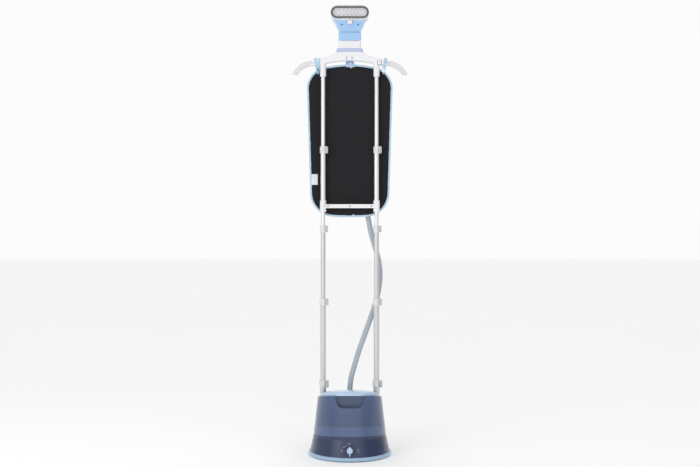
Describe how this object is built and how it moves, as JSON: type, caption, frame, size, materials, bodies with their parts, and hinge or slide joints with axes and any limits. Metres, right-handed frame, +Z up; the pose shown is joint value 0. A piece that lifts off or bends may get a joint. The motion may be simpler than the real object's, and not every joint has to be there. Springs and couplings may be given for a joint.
{
  "type": "garment steamer",
  "caption": "Standing garment steamer with a round water tank base, a telescoping twin-pole mast, a hanger with pressing board, and a docked steam head on a hose.",
  "frame": {"origin": "centre of the base's foot circle, on the floor", "axes": "+Z up along the mast, -Y towards the front where the knob, tank scoop and steam plate face, +X to the viewer's right"},
  "size_m": [0.452, 0.32, 1.7466],
  "materials": {
    "base_plate": "matte plastic",
    "base_ring": "gloss plastic",
    "lower_housing": "gloss plastic",
    "rear_column": "gloss plastic",
    "rubber_feet": "rubber",
    "base_screws": "brushed steel",
    "tank_seat": "rubber",
    "heater_block": "aluminium",
    "water_pipe": "rubber",
    "steam_pipe": "rubber",
    "rotary_switch": "matte plastic",
    "terminal_block": "matte plastic",
    "cord_gland": "matte plastic",
    "dial_plate": "matte plastic",
    "control_knob": "gloss plastic",
    "hose_socket": "matte plastic",
    "water_tank": "gloss plastic",
    "tank_lid": "gloss plastic",
    "tank_valve_cap": "matte plastic",
    "valve_plunger": "matte plastic",
    "crossbar": "gloss plastic",
    "crossbar_screws": "brushed steel",
    "hanger_body": "gloss plastic",
    "dock_trim": "gloss plastic",
    "dock_collar": "gloss plastic",
    "hanger_arm_left": "gloss plastic",
    "hanger_arm_right": "gloss plastic",
    "board_panel": "fabric",
    "board_binding": "fabric",
    "board_hooks": "fabric",
    "head_shell": "gloss plastic",
    "steam_plate": "gloss plastic",
    "brush_frame": "matte plastic",
    "brush_bristles": "matte plastic",
    "hose_cuff": "rubber",
    "hose": "rubber",
    "base_tube_left": "aluminium",
    "base_tube_right": "aluminium",
    "lower_tube_left": "aluminium",
    "lower_tube_right": "aluminium",
    "middle_tube_left": "aluminium",
    "middle_tube_right": "aluminium",
    "upper_tube_left": "aluminium",
    "upper_tube_right": "aluminium",
    "board_tube_left": "aluminium",
    "board_tube_right": "aluminium",
    "hanger_tube_left": "aluminium",
    "hanger_tube_right": "aluminium",
    "base_clamps": "matte plastic",
    "base_lever_left": "matte plastic",
    "base_lever_right": "matte plastic",
    "lower_clamps": "matte plastic",
    "lower_lever_left": "matte plastic",
    "lower_lever_right": "matte plastic",
    "middle_clamps": "matte plastic",
    "middle_lever_left": "matte plastic",
    "middle_lever_right": "matte plastic",
    "board_clamps": "matte plastic",
    "board_lever_left": "matte plastic",
    "board_lever_right": "matte plastic"
  },
  "bodies": {
    "base": {"base_plate": "base_plate", "base_ring": "base_ring", "lower_housing": "lower_housing", "rear_column": "rear_column", "rubber_feet": "rubber_feet", "base_screws": "base_screws", "tank_seat": "tank_seat", "heater_block": "heater_block", "water_pipe": "water_pipe", "steam_pipe": "steam_pipe", "rotary_switch": "rotary_switch", "terminal_block": "terminal_block", "cord_gland": "cord_gland", "dial_plate": "dial_plate", "hose_socket": "hose_socket", "base_tube_left": "base_tube_left", "base_tube_right": "base_tube_right", "base_clamps": "base_clamps", "hose": "hose"},
    "tank": {"water_tank": "water_tank", "tank_lid": "tank_lid", "tank_valve_cap": "tank_valve_cap"},
    "valve": {"valve_plunger": "valve_plunger"},
    "knob": {"control_knob": "control_knob"},
    "lower_stage": {"lower_tube_left": "lower_tube_left", "lower_tube_right": "lower_tube_right", "lower_clamps": "lower_clamps"},
    "middle_stage": {"middle_tube_left": "middle_tube_left", "middle_tube_right": "middle_tube_right", "middle_clamps": "middle_clamps"},
    "upper_stage": {"upper_tube_left": "upper_tube_left", "upper_tube_right": "upper_tube_right", "crossbar": "crossbar", "crossbar_screws": "crossbar_screws", "board_tube_left": "board_tube_left", "board_tube_right": "board_tube_right", "board_clamps": "board_clamps"},
    "hanger": {"hanger_tube_left": "hanger_tube_left", "hanger_tube_right": "hanger_tube_right", "hanger_body": "hanger_body", "dock_trim": "dock_trim", "dock_collar": "dock_collar", "board_panel": "board_panel", "board_binding": "board_binding", "board_hooks": "board_hooks"},
    "arm_left": {"hanger_arm_left": "hanger_arm_left"},
    "arm_right": {"hanger_arm_right": "hanger_arm_right"},
    "head": {"head_shell": "head_shell", "steam_plate": "steam_plate", "hose_cuff": "hose_cuff"},
    "brush": {"brush_frame": "brush_frame", "brush_bristles": "brush_bristles"},
    "base_lever_left": {"base_lever_left": "base_lever_left"},
    "base_lever_right": {"base_lever_right": "base_lever_right"},
    "lower_lever_left": {"lower_lever_left": "lower_lever_left"},
    "lower_lever_right": {"lower_lever_right": "lower_lever_right"},
    "middle_lever_left": {"middle_lever_left": "middle_lever_left"},
    "middle_lever_right": {"middle_lever_right": "middle_lever_right"},
    "board_lever_left": {"board_lever_left": "board_lever_left"},
    "board_lever_right": {"board_lever_right": "board_lever_right"}
  },
  "joints": [
    {"name": "tank_lift", "type": "slide", "parent": "base", "child": "tank", "axis": [0, 0, 1], "range_m": [0, 0.12]},
    {"name": "valve_slide", "type": "slide", "parent": "tank", "child": "valve", "axis": [0, 0, -1], "range_m": [0, 0.004]},
    {"name": "knob_turn", "type": "hinge", "parent": "base", "child": "knob", "pos_m": [0, -0.14776, 0.042], "axis": [0, -0.9787, 0.2052], "range_deg": [-90, 90]},
    {"name": "mast_slide", "type": "slide", "parent": "base", "child": "hanger", "axis": [0, 0, -1], "range_m": [0, 0.625], "deforming": ["hose"]},
    {"name": "lower_slide", "type": "slide", "parent": "base", "child": "lower_stage", "axis": [0, 0, -1], "range_m": [0, 0.18]},
    {"name": "middle_slide", "type": "slide", "parent": "base", "child": "middle_stage", "axis": [0, 0, -1], "range_m": [0, 0.42]},
    {"name": "upper_slide", "type": "slide", "parent": "base", "child": "upper_stage", "axis": [0, 0, -1], "range_m": [0, 0.465]},
    {"name": "arm_left_fold", "type": "hinge", "parent": "hanger", "child": "arm_left", "pos_m": [-0.146, 0.0605, 1.5215], "axis": [0, -1, 0], "range_deg": [0, 60]},
    {"name": "arm_right_fold", "type": "hinge", "parent": "hanger", "child": "arm_right", "pos_m": [0.146, 0.0605, 1.5215], "axis": [0, 1, 0], "range_deg": [0, 60]},
    {"name": "head_lift", "type": "slide", "parent": "hanger", "child": "head", "axis": [0, 0, 1], "range_m": [0, 0.06]},
    {"name": "brush_pull", "type": "slide", "parent": "head", "child": "brush", "axis": [0, -1, 0], "range_m": [0, 0.03]},
    {"name": "base_lever_left_flip", "type": "hinge", "parent": "base", "child": "base_lever_left", "pos_m": [-0.09, 0.0455, 0.2635], "axis": [0, 0, -1], "range_deg": [0, 95]},
    {"name": "base_lever_right_flip", "type": "hinge", "parent": "base", "child": "base_lever_right", "pos_m": [0.12, 0.0455, 0.2635], "axis": [0, 0, -1], "range_deg": [0, 95]},
    {"name": "lower_lever_left_flip", "type": "hinge", "parent": "lower_stage", "child": "lower_lever_left", "pos_m": [-0.0915, 0.047, 0.5846], "axis": [0, 0, -1], "range_deg": [0, 95]},
    {"name": "lower_lever_right_flip", "type": "hinge", "parent": "lower_stage", "child": "lower_lever_right", "pos_m": [0.1185, 0.047, 0.5846], "axis": [0, 0, -1], "range_deg": [0, 95]},
    {"name": "middle_lever_left_flip", "type": "hinge", "parent": "middle_stage", "child": "middle_lever_left", "pos_m": [-0.093, 0.0485, 0.8707], "axis": [0, 0, -1], "range_deg": [0, 95]},
    {"name": "middle_lever_right_flip", "type": "hinge", "parent": "middle_stage", "child": "middle_lever_right", "pos_m": [0.117, 0.0485, 0.8707], "axis": [0, 0, -1], "range_deg": [0, 95]},
    {"name": "board_lever_left_flip", "type": "hinge", "parent": "upper_stage", "child": "board_lever_left", "pos_m": [-0.093, 0.0485, 1.1812], "axis": [0, 0, -1], "range_deg": [0, 95]},
    {"name": "board_lever_right_flip", "type": "hinge", "parent": "upper_stage", "child": "board_lever_right", "pos_m": [0.117, 0.0485, 1.1812], "axis": [0, 0, -1], "range_deg": [0, 95]}
  ],
  "couplings": [
    {"joint": "valve_slide", "follows": "tank_lift", "ratio": 0.033},
    {"joint": "lower_slide", "follows": "mast_slide", "ratio": 0.288},
    {"joint": "middle_slide", "follows": "mast_slide", "ratio": 0.672},
    {"joint": "upper_slide", "follows": "mast_slide", "ratio": 0.744}
  ]
}
